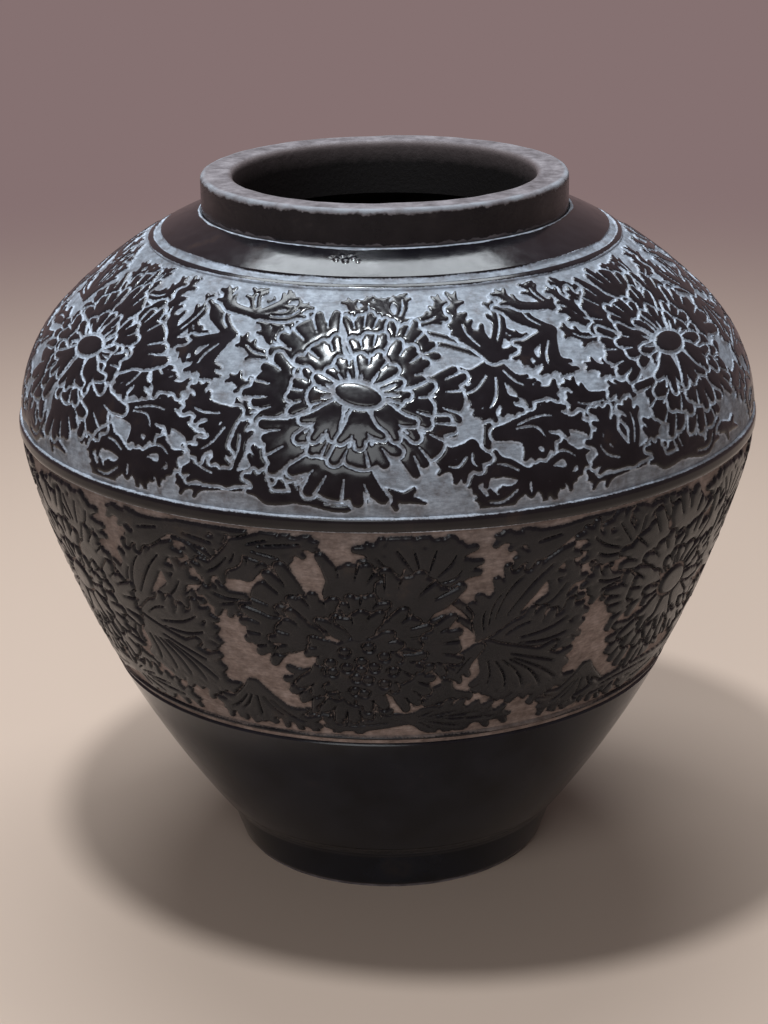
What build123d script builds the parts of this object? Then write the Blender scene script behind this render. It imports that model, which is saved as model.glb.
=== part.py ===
"""Wide-shouldered stoneware storage jar with two carved flower scrolls, in millimetres.

The origin is the centre of the foot's resting face, and +Z points up through the mouth.
The clay is four thrown pieces luted together on a base slab, and each glazed zone is a
coat of its own over the clay. Between the coats the bare clay shows, as the pale ground
of the scrolls and as the fine lines that are cut round the jar.
"""

import os
from math import asin, atan2, cos, radians, sin

from build123d import *

os.makedirs("parts", exist_ok=True)

# The outside of the jar
belly_radius = 183.2
belly_height = 233.0
body_height = 333.3
neck_radius = 90.0
neck_height = 17.5
mouth_radius = 74.0
heel_radius = 92.0
heel_height = 28.0

# The short arcs above and below the belly, each before one long arc takes over. Their radii are
# shares of the height there, and their turns are shares of how far that side leans in.
shoulder_radius_share = 0.748
shoulder_turn_share = 1.016
hip_radius_share = 0.439
hip_turn_share = 0.638

# The foot, cut in a little under the heel
foot_height = 23.0
foot_top_radius = 87.0
foot_base_radius = 79.0
foot_bore_radius = 62.0
bare_foot = 2.0

# The thicknesses of the clay and of the coats on it
wall = 8.0
floor_thickness = 9.0
heel_wall = 7.0
coat = 1.2
inner_coat = 0.8
collar_root = 10.0
wall_run_on = 4.0

# The bare bevels at the top of the neck
rim_bevel = 2.5
rim_inner_round = 3.0

# The widths of the rings along the outside: three down from the neck, the girdle about the
# belly, and three up from the heel. The two scrolls fill what is left.
shoulder_ring_width = 22.4
upper_line_width = 3.2
fillet_width = 4.0
girdle_width = 7.5
girdle_drop = 4.6
girdle_bead = 0.6
low_fillet_width = 2.0
low_line_width = 3.0
foot_coat_width = 94.6

# The flower heads of both scrolls, with a count round the jar that both share
flower_count = 6
petal_count = 11
scroll_margin = 4.0
carved_line = 1.8
cutter_reach = 30.0

# Shares of half the height of a scroll, in which the carver fits heads and leaves alike
head_share = 0.92
notch_share = 0.80
slit_share = 0.64
inner_ring_share = 0.50
heart_share = 0.19
leaf_base_share = 0.10
leaf_length_share = 0.90

# Half of a peony leaf's outline from its stem to its tip: shares of its length, along and across
leaf_outline_shares = (
    (0.00, 0.06),
    (0.10, 0.44),
    (0.24, 0.22),
    (0.34, 0.60),
    (0.50, 0.24),
    (0.70, 0.46),
    (0.76, 0.15),
)


def closing_arc(start, side, end):
    """The radius of the arc that leaves a point square to its side and ends at another."""
    across = end - start
    return across.dot(across) / (2 * across.dot(side))


def side_at(turn, sign):
    """The direction into the clay where the outside has turned in above or below the belly."""
    return Vector(-cos(turn), -sign * sin(turn))


def lean(start, end):
    """How far the straight line from one point to another leans in from upright."""
    return atan2(start.X - end.X, abs(start.Y - end.Y))


# The two long arcs are worked out so that they end at the neck and at the heel
belly = Vector(belly_radius, belly_height)
neck_foot = Vector(neck_radius, body_height)
heel = Vector(heel_radius, heel_height)
shoulder_turn_radius = shoulder_radius_share * (neck_foot - belly).Y
hip_turn_radius = hip_radius_share * (belly - heel).Y
shoulder_turn = shoulder_turn_share * lean(belly, neck_foot)
hip_turn = hip_turn_share * lean(belly, heel)
shoulder_middle = belly + side_at(0, 1) * shoulder_turn_radius
hip_middle = belly + side_at(0, -1) * hip_turn_radius
shoulder_start = shoulder_middle - side_at(shoulder_turn, 1) * shoulder_turn_radius
hip_start = hip_middle - side_at(hip_turn, -1) * hip_turn_radius
upper_radius = closing_arc(shoulder_start, side_at(shoulder_turn, 1), neck_foot)
lower_radius = closing_arc(hip_start, side_at(hip_turn, -1), heel)
shoulder_length = shoulder_turn_radius * shoulder_turn
hip_length = hip_turn_radius * hip_turn
upper_length = upper_radius * 2 * asin((neck_foot - shoulder_start).length / upper_radius / 2)
lower_length = lower_radius * 2 * asin((heel - hip_start).length / lower_radius / 2)
neck_place = shoulder_length + upper_length
heel_place = -hip_length - lower_length


def under(place, depth):
    """The point a depth under the outside, at a place along it up or down from the belly."""
    sign = 1 if place > 0 else -1
    along = abs(place)
    turn_length = shoulder_length if sign > 0 else hip_length
    if along <= turn_length:
        middle = shoulder_middle if sign > 0 else hip_middle
        radius = shoulder_turn_radius if sign > 0 else hip_turn_radius
        side = side_at(along / radius, sign)
        return middle - side * (radius - depth)
    turn = shoulder_turn if sign > 0 else hip_turn
    start = shoulder_start if sign > 0 else hip_start
    radius = upper_radius if sign > 0 else lower_radius
    middle = start + side_at(turn, sign) * radius
    side = side_at(turn + (along - turn_length) / radius, sign)
    return middle - side * (radius - depth)


def wall_line(depth, low, high):
    """Draws the body's line at a depth under its outside, from one place up to another."""
    breaks = [place for place in (-hip_length, 0, shoulder_length) if low < place < high]
    places = [low, *breaks, high]
    for start, end in zip(places, places[1:]):
        ThreePointArc(under(start, depth), under((start + end) / 2, depth), under(end, depth))


def layer(outer_depth, inner_depth, low, high):
    """The closed face between two depths, from one place up the outside to another."""
    with BuildSketch() as section:
        with BuildLine():
            wall_line(outer_depth, low, high)
            wall_line(inner_depth, low, high)
            Line(under(low, outer_depth), under(low, inner_depth))
            Line(under(high, outer_depth), under(high, inner_depth))
        make_face()
    return section.sketch


def foot_side(height):
    """The radius of the foot's outside at a height."""
    return foot_base_radius + (foot_top_radius - foot_base_radius) * height / foot_height


# The places worked out from the sizes above
jar_height = body_height + neck_height
collar_radius = neck_radius - coat
collar_base = body_height - collar_root
floor_top = foot_height + floor_thickness
floor_radius = foot_top_radius - heel_wall
collar_seat = neck_place + wall_run_on
shoulder_glaze_bottom = neck_place - shoulder_ring_width
fillet_top = shoulder_glaze_bottom - upper_line_width
fillet_bottom = fillet_top - fillet_width
girdle_bottom = -girdle_drop
girdle_top = girdle_bottom + girdle_width
seam = girdle_bottom + girdle_width / 2
foot_coat_top = heel_place + foot_coat_width
low_fillet_bottom = foot_coat_top + low_line_width
low_fillet_top = low_fillet_bottom + low_fillet_width
wall_depth = coat + wall
inside_depth = wall_depth + inner_coat

# The foot: a turned ring that the base slab and the heel stand on
with BuildPart() as foot_ring:
    with BuildSketch(Plane.XZ):
        with BuildLine():
            Polyline(
                (foot_bore_radius, 0),
                (foot_base_radius - coat, 0),
                (foot_top_radius - coat, foot_height),
                (foot_bore_radius, foot_height),
                close=True,
            )
        make_face()
    revolve()
foot_ring.part.label = "foot_ring"
export_step(foot_ring.part, "parts/foot_ring.step")

# The base slab, a flat disc inside the heel
with BuildPart() as base_floor:
    with BuildSketch(Plane.XY.offset(foot_height)):
        Circle(floor_radius)
    extrude(amount=floor_thickness)
base_floor.part.label = "base_floor"
export_step(base_floor.part, "parts/base_floor.step")

# The lower body: the heel round the base slab, and the wall up to the seam at the girdle
with BuildPart() as lower_body:
    with BuildSketch(Plane.XZ):
        add(layer(coat, wall_depth, heel_place, seam))
        with BuildLine():
            Polyline(
                (floor_radius, foot_height),
                (foot_top_radius - coat, foot_height),
                under(heel_place, coat),
                under(heel_place, wall_depth),
                (floor_radius, floor_top),
                close=True,
            )
        make_face()
    revolve()
lower_body.part.label = "lower_body"
export_step(lower_body.part, "parts/lower_body.step")

# The shoulder: the wall from the seam up to the side of the neck collar
with BuildPart() as shoulder_body:
    with BuildSketch(Plane.XZ):
        add(layer(coat, wall_depth, seam, collar_seat))
        with Locations((collar_radius / 2, body_height)):
            Rectangle(collar_radius, 2 * belly_height, mode=Mode.SUBTRACT)
    revolve()
shoulder_body.part.label = "shoulder_body"
export_step(shoulder_body.part, "parts/shoulder_body.step")

# The neck collar, thick and short, with a flat rim that a lid or a cloth cover lies on
with BuildPart() as neck_collar:
    with BuildSketch(Plane.XZ):
        with BuildLine():
            Polyline(
                (mouth_radius, collar_base),
                (collar_radius, collar_base),
                (collar_radius, jar_height - rim_bevel),
                (neck_radius - rim_bevel, jar_height),
                (mouth_radius + rim_inner_round, jar_height),
                (mouth_radius, jar_height - rim_inner_round),
                close=True,
            )
        make_face()
    revolve()
neck_collar.part.label = "neck_collar"
export_step(neck_collar.part, "parts/neck_collar.step")

# The coat on the neck, from the shoulder up to the bare bevel
with BuildPart() as neck_glaze:
    with BuildSketch(Plane.XZ):
        with BuildLine():
            Polyline(
                (collar_radius, body_height),
                (neck_radius, body_height),
                (neck_radius, jar_height - rim_bevel),
                (collar_radius, jar_height - rim_bevel),
                close=True,
            )
        make_face()
    revolve()
neck_glaze.part.label = "neck_glaze"
export_step(neck_glaze.part, "parts/neck_glaze.step")

# The plain glazed ring of the shoulder, between the neck and the first cut line
with BuildPart() as shoulder_glaze:
    with BuildSketch(Plane.XZ):
        add(layer(0, coat, shoulder_glaze_bottom, collar_seat))
        with Locations((collar_radius / 2, body_height)):
            Rectangle(collar_radius, 2 * belly_height, mode=Mode.SUBTRACT)
        with Locations((neck_radius, body_height + neck_height)):
            Rectangle(2 * neck_radius, 2 * neck_height, mode=Mode.SUBTRACT)
    revolve()
shoulder_glaze.part.label = "shoulder_glaze"
export_step(shoulder_glaze.part, "parts/shoulder_glaze.step")


def ring_coat(low, high, bead):
    """A glazed ring round the body, swelled outwards by a bead in its middle."""
    with BuildPart() as ring:
        with BuildSketch(Plane.XZ):
            add(layer(0, coat, low, high))
            if bead > 0:
                with BuildLine():
                    ThreePointArc(
                        under(low, 0),
                        under((low + high) / 2, -bead),
                        under(high, 0),
                    )
                    Line(under(high, 0), under(low, 0))
                make_face()
        revolve()
    return ring.part


fillet_ring = ring_coat(fillet_bottom, fillet_top, 0)
fillet_ring.label = "fillet_ring"
export_step(fillet_ring, "parts/fillet_ring.step")

girdle_ring = ring_coat(girdle_bottom, girdle_top, girdle_bead)
girdle_ring.label = "girdle_ring"
export_step(girdle_ring, "parts/girdle_ring.step")

low_fillet_ring = ring_coat(low_fillet_bottom, low_fillet_top, 0)
low_fillet_ring.label = "low_fillet_ring"
export_step(low_fillet_ring, "parts/low_fillet_ring.step")

# The plain dark coat below the lower scroll, over the heel and down the foot
with BuildPart() as lower_glaze:
    with BuildSketch(Plane.XZ):
        add(layer(0, coat, heel_place, foot_coat_top))
        with BuildLine():
            Polyline(
                (foot_side(bare_foot) - coat, bare_foot),
                (foot_side(bare_foot), bare_foot),
                (foot_top_radius, foot_height),
                under(heel_place, 0),
                under(heel_place, coat),
                (foot_top_radius - coat, foot_height),
                close=True,
            )
        make_face()
    revolve()
lower_glaze.part.label = "lower_glaze"
export_step(lower_glaze.part, "parts/lower_glaze.step")

# The thin coat inside, over the base slab and up the wall to the neck collar
with BuildPart() as inside_glaze:
    with BuildSketch(Plane.XZ):
        add(layer(wall_depth, inside_depth, heel_place, collar_seat))
        with Locations((collar_radius / 2, body_height)):
            Rectangle(collar_radius, 2 * belly_height, mode=Mode.SUBTRACT)
        with BuildLine():
            Polyline(
                (0, floor_top),
                (floor_radius, floor_top),
                under(heel_place, wall_depth),
                under(heel_place, inside_depth),
                (floor_radius, floor_top + inner_coat),
                (0, floor_top + inner_coat),
                close=True,
            )
        make_face()
    revolve()
inside_glaze.part.label = "inside_glaze"
export_step(inside_glaze.part, "parts/inside_glaze.step")


def flower_plane(place, turn):
    """The plane that touches the body at a place up its outside, turned round the jar."""
    middle = under(place, 0)
    out = (middle - under(place, coat)).normalized()
    across = Vector(cos(turn), sin(turn), 0)
    side = Vector(-sin(turn), cos(turn), 0)
    return Plane(
        origin=across * middle.X + Vector(0, 0, middle.Y),
        x_dir=side,
        z_dir=across * out.X + Vector(0, 0, out.Y),
    )


def head_outline(size):
    """A full peony head: round petals parted by cut lines, about a heart cut free by a ring."""
    radius = head_share * size
    notch = notch_share * size
    slit = slit_share * size
    inner = inner_ring_share * size
    heart = heart_share * size
    step = 360 / petal_count
    with BuildSketch() as head:
        with BuildLine():
            for petal in range(petal_count):
                start = Vector(notch, 0).rotate(Axis.Z, petal * step)
                middle = Vector(radius, 0).rotate(Axis.Z, (petal + 1 / 2) * step)
                end = Vector(notch, 0).rotate(Axis.Z, (petal + 1) * step)
                ThreePointArc(start, middle, end)
        make_face()
        with PolarLocations(notch, petal_count):
            Rectangle(2 * (notch - slit), carved_line, mode=Mode.SUBTRACT)
        RegularPolygon(inner + carved_line, petal_count, mode=Mode.SUBTRACT)
        RegularPolygon(inner, petal_count)
        Circle(heart + carved_line, mode=Mode.SUBTRACT)
        Circle(heart)
    return head.sketch


def leaf_outline(length):
    """A pointed peony leaf from the origin along X, with three teeth at each side."""
    half = [(along * length, across * length) for along, across in leaf_outline_shares]
    other_half = [(along, -across) for along, across in reversed(half)]
    with BuildSketch() as leaf:
        with BuildLine():
            Polyline(*half, (length, 0), *other_half, close=True)
        make_face()
    return leaf.sketch


def scroll(panel_low, panel_high, name):
    """One carved scroll: peony heads round the body with pairs of leaves between them."""
    low = panel_low + scroll_margin
    high = panel_high - scroll_margin
    place = (low + high) / 2
    size = (high - low) / 2
    step = 360 / flower_count
    with BuildPart() as cutters:
        with BuildSketch(flower_plane(place, 0)):
            add(head_outline(size))
        extrude(amount=cutter_reach, both=True)
        with BuildSketch(flower_plane(place, radians(step / 2))):
            leaf = leaf_outline(leaf_length_share * size)
            for side in (-1, 1):
                with Locations((0, side * leaf_base_share * size)):
                    add(leaf.rotate(Axis.Z, side * 90))
        extrude(amount=cutter_reach, both=True)
    with BuildPart() as cell:
        with BuildSketch(Plane.XZ):
            add(layer(0, coat, low, high))
        revolve(revolution_arc=2 * step)
        add(cutters.part.rotate(Axis.Z, step / 2), mode=Mode.INTERSECT)
    with BuildPart() as relief:
        with PolarLocations(0, flower_count):
            add(cell.part)
    relief.part.label = name
    export_step(relief.part, f"parts/{name}.step")
    return relief.part


upper_scroll = scroll(girdle_top, fillet_bottom, "upper_scroll")
lower_scroll = scroll(low_fillet_top, girdle_bottom, "lower_scroll")

print("height", jar_height, "width", 2 * (belly_radius + girdle_bead))
print("places of the neck and the heel", neck_place, heel_place)
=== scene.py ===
"""Dark-glazed storage jar with two carved flower scrolls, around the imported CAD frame."""

import math

import bpy
import numpy as np
from mathutils import Matrix, Vector


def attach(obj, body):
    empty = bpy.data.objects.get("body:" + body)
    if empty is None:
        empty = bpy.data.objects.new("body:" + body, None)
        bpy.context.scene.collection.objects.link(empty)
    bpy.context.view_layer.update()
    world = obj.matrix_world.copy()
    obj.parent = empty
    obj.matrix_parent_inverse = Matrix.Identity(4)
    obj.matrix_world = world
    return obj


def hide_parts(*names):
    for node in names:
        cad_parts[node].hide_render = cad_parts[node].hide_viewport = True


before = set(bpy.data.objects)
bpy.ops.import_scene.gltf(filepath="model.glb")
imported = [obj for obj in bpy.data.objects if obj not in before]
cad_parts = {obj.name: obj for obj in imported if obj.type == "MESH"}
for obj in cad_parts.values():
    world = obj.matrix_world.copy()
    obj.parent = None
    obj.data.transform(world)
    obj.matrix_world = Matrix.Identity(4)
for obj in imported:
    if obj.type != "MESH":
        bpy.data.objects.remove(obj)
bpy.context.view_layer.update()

MM = 0.001

# The body's outside, in millimetres, as the CAD part has it
BELLY_RADIUS, BELLY_HEIGHT = 183.2, 233.0
BODY_HEIGHT, NECK_RADIUS = 333.3, 90.0
HEEL_RADIUS, HEEL_HEIGHT = 92.0, 28.0
SHOULDER_TURN_RADIUS, SHOULDER_TURN = 75.0, math.radians(43.6)
HIP_TURN_RADIUS, HIP_TURN = 90.0, math.radians(15.3)

# The neck, the foot, the floor slab and the wall with its coat
JAR_HEIGHT, MOUTH_RADIUS, COLLAR_BASE = 350.8, 74.0, 323.3
FOOT_HEIGHT, FOOT_TOP_RADIUS, FOOT_BASE_RADIUS, BARE_FOOT = 23.0, 87.0, 79.0, 2.0
FLOOR_TOP, FLOOR_RADIUS = 32.0, 80.0
COAT, WALL_DEPTH = 1.2, 9.2

# Edges of the rings, as places along the outside, up from the belly
GIRDLE_LOW, GIRDLE_HIGH = -4.6, 2.9
FILLET_LOW, FILLET_HIGH, LINE_HIGH = 115.4, 119.4, 122.6
LOW_FILLET, LOW_LINE_TOP, LOW_LINE = -127.1, -129.1, -132.1


def side_at(turn, sign):
    """The direction into the clay where the outside has turned in above or below the belly."""
    return np.array([-math.cos(turn), -sign * math.sin(turn)])


BELLY = np.array([BELLY_RADIUS, BELLY_HEIGHT])
NECK_FOOT = np.array([NECK_RADIUS, BODY_HEIGHT])
HEEL = np.array([HEEL_RADIUS, HEEL_HEIGHT])


def arcs(radius, turn, sign, end):
    """Half of the outside: (length, middle, radius, first turn) of its short arc and its long one."""
    side = side_at(turn, sign)
    middle = BELLY + side_at(0, sign) * radius
    start = middle - side * radius
    # The long arc leaves the short one square to its side and closes at the end
    across = end - start
    long_radius = across @ across / (2 * across @ side)
    long_middle = start + side * long_radius
    long_length = long_radius * 2 * math.asin(np.linalg.norm(across) / long_radius / 2)
    return (radius * turn, middle, radius, 0.0), (long_length, long_middle, long_radius, turn)


UPPER_HALF = arcs(SHOULDER_TURN_RADIUS, SHOULDER_TURN, 1, NECK_FOOT)
LOWER_HALF = arcs(HIP_TURN_RADIUS, HIP_TURN, -1, HEEL)
NECK_PLACE = UPPER_HALF[0][0] + UPPER_HALF[1][0]
HEEL_PLACE = -LOWER_HALF[0][0] - LOWER_HALF[1][0]


def under(place, depth):
    """(radius, height) a depth under the outside, at places along it from the belly."""
    place = np.asarray(place, float)
    depth = np.broadcast_to(np.asarray(depth, float), place.shape)
    point = np.zeros(place.shape + (2,))
    for sign, half in ((1, UPPER_HALF), (-1, LOWER_HALF)):
        here = place * sign >= 0 if sign > 0 else place < 0
        along = np.abs(place)
        (short_length, *short), (_, *long) = half
        for first, (middle, radius, turn) in ((0.0, short), (short_length, long)):
            there = here & (along >= first)
            angle = turn + (along - first) / radius
            side = np.stack([-np.cos(angle), -sign * np.sin(angle)], -1)
            reach = (radius - depth)[..., None]
            point = np.where(there[..., None], middle - side * reach, point)
    return point


# The carved scrolls are drawn on the body rolled out flat, in degrees round the jar from its
# front and in millimetres up along its outside from the belly. A pattern of half the way round
# comes twice.
PER_DEGREE = math.radians(1) * BELLY_RADIUS
TILE_DEGREES = 180.0
SECTOR_DEGREES = 60.0
SECTOR_COLUMNS = 320
ROW_STEP = 0.6
BARE_DISTANCE = 9.0
BRUSH_MARGIN = 4
TINY = 1e-9


class Panel:
    """One scroll as a field of distances, negative where the dark glaze still lies.

    outline is the width of the cut round each shape, shingle how far a shape dips to its base,
    and the last number how far the dark glaze colour is carried down into the cuts, darkening them.
    """

    def __init__(self, low, high, outline, shingle, dark_into_cuts):
        self.low = low
        self.outline = outline
        self.shingle = shingle
        self.dark_into_cuts = dark_into_cuts
        self.columns = int(SECTOR_COLUMNS * TILE_DEGREES / SECTOR_DEGREES)
        self.rows = int(round((high - low) / ROW_STEP)) + 1
        self.up = np.linspace(low, high, self.rows)
        self.step = TILE_DEGREES * PER_DEGREE / self.columns
        self.glaze = np.full((self.rows, self.columns), BARE_DISTANCE)
        self.relief = np.zeros((self.rows, self.columns))
        self.scale = 1.0

    def at(self, degrees, up):
        """A point of the scroll. What is drawn next keeps its true width at this height."""
        self.scale = float(under(up, 0)[0]) / BELLY_RADIUS
        return self.also(degrees, up)

    def also(self, degrees, up):
        """Another point of the same shape."""
        return np.array([degrees * PER_DEGREE * self.scale, up])

    def window(self, points, reach):
        """The rows and columns near some points, with their places, wrapped round the tile."""
        points = np.asarray(points, float)
        left, bottom = points.min(0) - reach
        right, top = points.max(0) + reach
        step = self.step * self.scale
        across = np.arange(int(math.floor(left / step)), int(math.ceil(right / step)) + 1)
        first = max(0, int(math.floor((bottom - self.low) / ROW_STEP)))
        last = min(self.rows, int(math.ceil((top - self.low) / ROW_STEP)) + 1)
        rows = np.minimum(np.arange(first, max(last, first + 1)), self.rows - 1)
        x = (across * step)[None, :] + np.zeros((len(rows), 1))
        y = self.up[rows][:, None] + np.zeros((1, len(across)))
        return np.ix_(rows, across % self.columns), x, y

    def lay(self, shape):
        """Lays a dark shape over the others, with a pale outline cut round it."""
        where, distance, tilt = shape
        old = self.glaze[where]
        self.glaze[where] = np.minimum(np.maximum(old, self.outline - distance), distance)
        self.relief[where] = np.where(distance < self.outline / 2, tilt, self.relief[where])

    def cut(self, shape):
        """Cuts a pale line or patch."""
        where, distance, _ = shape
        self.glaze[where] = np.maximum(self.glaze[where], -distance)

    def join(self, shape):
        """Adds a dark shape with no outline."""
        where, distance, tilt = shape
        self.relief[where] = np.where(distance < self.glaze[where], tilt, self.relief[where])
        self.glaze[where] = np.minimum(self.glaze[where], distance)


def turned(heading, length):
    """A step of a length in a heading, in degrees."""
    return np.array([math.cos(math.radians(heading)), math.sin(math.radians(heading))]) * length


def smooth_line(points, steps=4):
    """A smooth line through points."""
    points = np.asarray(points, float)
    ends = np.vstack([2 * points[0] - points[1], points, 2 * points[-1] - points[-2]])
    t = np.arange(steps)[:, None] / steps
    line = []
    for a, b, c, d in zip(ends, ends[1:], ends[2:], ends[3:]):
        second = (2 * a - 5 * b + 4 * c - d) * t ** 2
        third = (3 * b - a - 3 * c + d) * t ** 3
        line.append(0.5 * (2 * b + (c - a) * t + second + third))
    return np.vstack([*line, points[-1:]])


def line_distance(x, y, line, radii):
    """The distance to a line whose half width runs through radii from end to end."""
    count = len(line)
    widths = np.interp(np.linspace(0, 1, count), np.linspace(0, 1, len(radii)), radii)
    best = np.full(x.shape, np.inf)
    for k in range(count - 1):
        (ax, ay), (dx, dy) = line[k], line[k + 1] - line[k]
        t = np.clip(((x - ax) * dx + (y - ay) * dy) / (dx * dx + dy * dy + TINY), 0, 1)
        width = widths[k] + (widths[k + 1] - widths[k]) * t
        best = np.minimum(best, np.hypot(x - ax - t * dx, y - ay - t * dy) - width)
    return best


def smooth_min(a, b, blend):
    """The smaller of two distances, rounded where they meet."""
    share = np.clip(0.5 + 0.5 * (b - a) / blend, 0, 1)
    return b + (a - b) * share - blend * share * (1 - share)


def stroke(panel, points, radii):
    """A brush stroke through points, as (window, distance, relief)."""
    where, x, y = panel.window(points, max(radii) + BRUSH_MARGIN)
    return where, line_distance(x, y, smooth_line(points), radii), np.zeros(x.shape)


def blended(panel, base, strokes, reach, blend):
    """Strokes joined softly into one shape that rises from its base to its tips."""
    spots = np.vstack([np.asarray(points, float) for points, _ in strokes])
    where, x, y = panel.window(spots, reach)
    whole = None
    for points, radii in strokes:
        distance = line_distance(x, y, smooth_line(points), radii)
        whole = distance if whole is None else smooth_min(whole, distance, blend)
    far = np.hypot(*(spots - base).T).max() + TINY
    near = np.clip(1 - np.hypot(x - base[0], y - base[1]) / far, 0, 1)
    return where, whole, -panel.shingle * near


def oval(panel, centre, a, b, tilt=0.0):
    """An oval about a centre, tilted in degrees."""
    where, x, y = panel.window([centre], max(a, b) + BRUSH_MARGIN)
    cosine, sine = math.cos(math.radians(tilt)), math.sin(math.radians(tilt))
    u = (x - centre[0]) * cosine + (y - centre[1]) * sine
    v = (y - centre[1]) * cosine - (x - centre[0]) * sine
    near = np.hypot(u / a, v / b)
    slope = np.hypot(u / a ** 2, v / b ** 2) + TINY
    return where, np.maximum(near * (near - 1) / slope, -min(a, b)), np.zeros(x.shape)


def wobble(seed, size):
    """A fixed, uneven amount between minus size and size."""
    return size * math.sin(seed * 12.9898 + 4.1) * math.cos(seed * 3.77)


PALM_SHARES = (0.14, 0.36, 0.36)
FINGER_SHARES = (0.9, 1.0, 0.68)
FINGER_SPREAD = 46
PETAL_BLEND, PETAL_MARGIN = 0.5, 6
SLIT_RADII = (0.7, 0.5, 0.25)


def petal(panel, base, heading, length, breadth, lobes, bend, slit):
    """A petal with a fingered end: a palm that widens from the base and a fan of round fingers."""
    middle = base + turned(heading, length * 0.34)
    palm_end = middle + turned(heading + bend * 0.5, length * 0.28)
    strokes = [([base, middle, palm_end], np.multiply(PALM_SHARES, breadth))]
    finger = breadth / lobes * 0.54
    ahead = heading + bend
    tips = []
    for k in range(lobes):
        share = 2 * k / (lobes - 1) - 1
        uneven = wobble(heading + 5 * k + base[0], 1.0)
        root = middle + turned(ahead + 90, share * breadth * 0.2)
        bow = palm_end + turned(ahead + 90, share * breadth * 0.37)
        out = length * (0.47 - 0.14 * share * share + 0.13 * uneven) - finger * 0.6
        tip = bow + turned(ahead + share * FINGER_SPREAD + uneven * 20, out)
        strokes.append(([root, bow, tip], np.multiply(FINGER_SHARES, finger)))
        tips.append(tip)
    panel.lay(blended(panel, base, strokes, breadth * 0.5 + PETAL_MARGIN, PETAL_BLEND))
    for first, second in zip(tips, tips[1:]):
        notch = (first + second) / 2
        inner = notch + (base - notch) * slit
        panel.cut(stroke(panel, [notch + (notch - base) * 0.1, inner], SLIT_RADII))


TOOTH_PLACES = (0.34, 0.48, 0.62, 0.76)


def teeth(points, radii, seed):
    """Small teeth along both sides of a leaf's finger, as strokes."""
    line = smooth_line(points, 6)
    made = []
    for k, share in enumerate(TOOTH_PLACES):
        spot = int(share * (len(line) - 1))
        ahead = (line[spot + 1] - line[spot]) / np.linalg.norm(line[spot + 1] - line[spot])
        side = np.array([-ahead[1], ahead[0]]) * (1 if (k + seed) % 2 else -1)
        reach = radii[1] * (1.75 - share)
        tooth = line[spot] + side * reach * 1.25 + ahead * reach * 0.9
        made.append(([line[spot], tooth], (radii[1] * 0.6, radii[1] * 0.36)))
    return made


LEAF_SHARES = (0.7, 0.95, 0.66, 0.2)
LEAF_BLEND = 1.5
TOOTHED_LENGTH = 14
VEIN_RADII = (0.35, 0.5, 0.25)
FULLY_VEINED_WIDTH = 4


def leaf(panel, base, width, tips):
    """A leaf whose fingers run from one base to their tips, each (degrees, up, curl, size)."""
    start = panel.at(*base)
    fingers = []
    small = []
    for k, (degrees, up, curl, *size) in enumerate(tips):
        end = panel.also(degrees, up)
        run = end - start
        side = np.array([-run[1], run[0]])
        bow = start + run * 0.55 + side * curl
        neck = start + run * 0.86 + side * curl * 0.45
        breadth = width * size[0] if size else width
        fingers.append(([start, bow, neck, end], np.multiply(LEAF_SHARES, breadth)))
        if np.linalg.norm(run) > TOOTHED_LENGTH:
            small += teeth(*fingers[-1], k)
    panel.lay(blended(panel, start, fingers + small, 3 * width, LEAF_BLEND))
    for k, (points, _) in enumerate(fingers):
        if k % 2 or width > FULLY_VEINED_WIDTH:
            panel.cut(stroke(panel, smooth_line(points)[2:-5], VEIN_RADII))


def stem(panel, width, points):
    """A thin stem through points."""
    line = [panel.at(*points[0])] + [panel.also(*p) for p in points[1:]]
    panel.lay(stroke(panel, line, (width, width)))


# The rings of a head from the outside in: (petals, start, length, breadth, lobes), the start and
# length as shares of the head's half width and half height
PETAL_RINGS = ((8, 0.44, 0.54, 30, 5), (7, 0.28, 0.42, 23, 4), (6, 0.13, 0.30, 15, 3))
PETAL_SLIT, INNER_SLIT = 0.26, 0.2
STAMENS, STAMEN_LENGTH, STAMEN_RADII = 17, 6.5, (0.75, 0.8, 0.35)
INNER_PETAL, INNER_LEANS = (18, 13, 3), (-46, 48, 4)
EYE_CUT = 2.1


def petal_rings(panel, centre, size, seed):
    """The overlapping petals of a head, the upper ones first and the lower ones over them."""
    for ring, (count, start, length, breadth, lobes) in enumerate(PETAL_RINGS):
        turns = [360 * (k + 0.5 * (ring % 2)) / count for k in range(count)]
        order = sorted(range(count), key=lambda k: -math.sin(math.radians(turns[k])))
        for k in order:
            way = turned(turns[k] + wobble(seed + k + 7 * ring, 9), 1.0) * size
            grown = 1 + wobble(seed + 2.3 * k + ring, 0.18)
            heading = math.degrees(math.atan2(way[1], way[0])) + wobble(seed + 3 * k + ring, 14)
            reach = length * math.hypot(*way) * grown
            bend = wobble(seed + 5 * k, 34)
            petal(panel, centre + way * start, heading, reach, breadth * grown, lobes, bend, PETAL_SLIT)


def dark_eye(panel, centre, eye, tilt, seed):
    """The dark eye of a head, with cut stamens round it and three petals under it."""
    for k in range(STAMENS):
        way = turned(360 * k / STAMENS + wobble(seed + k, 6), 1.0)
        inner = centre + way * eye * 1.15
        outer = centre + way * (eye * 1.15 + STAMEN_LENGTH + wobble(seed + 3 * k, 2.8))
        panel.cut(stroke(panel, [inner, outer], STAMEN_RADII))
    for lean in INNER_LEANS:
        below = centre + turned(lean - 90, 1.0) * eye * 1.1
        petal(panel, below, lean * 0.6 - 90, *INNER_PETAL, wobble(seed + lean, 16), INNER_SLIT)
    panel.cut(oval(panel, centre, *(eye + EYE_CUT), tilt))
    panel.join(oval(panel, centre, *eye, tilt))


SEED_RINGS, SEED_GAP, SEED_SIZE = (1, 5, 9), 6.8, (2.2, 2.0)
HEART_DROP, HEART_SIZE = np.array([4, -14]), (17, 20)


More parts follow.
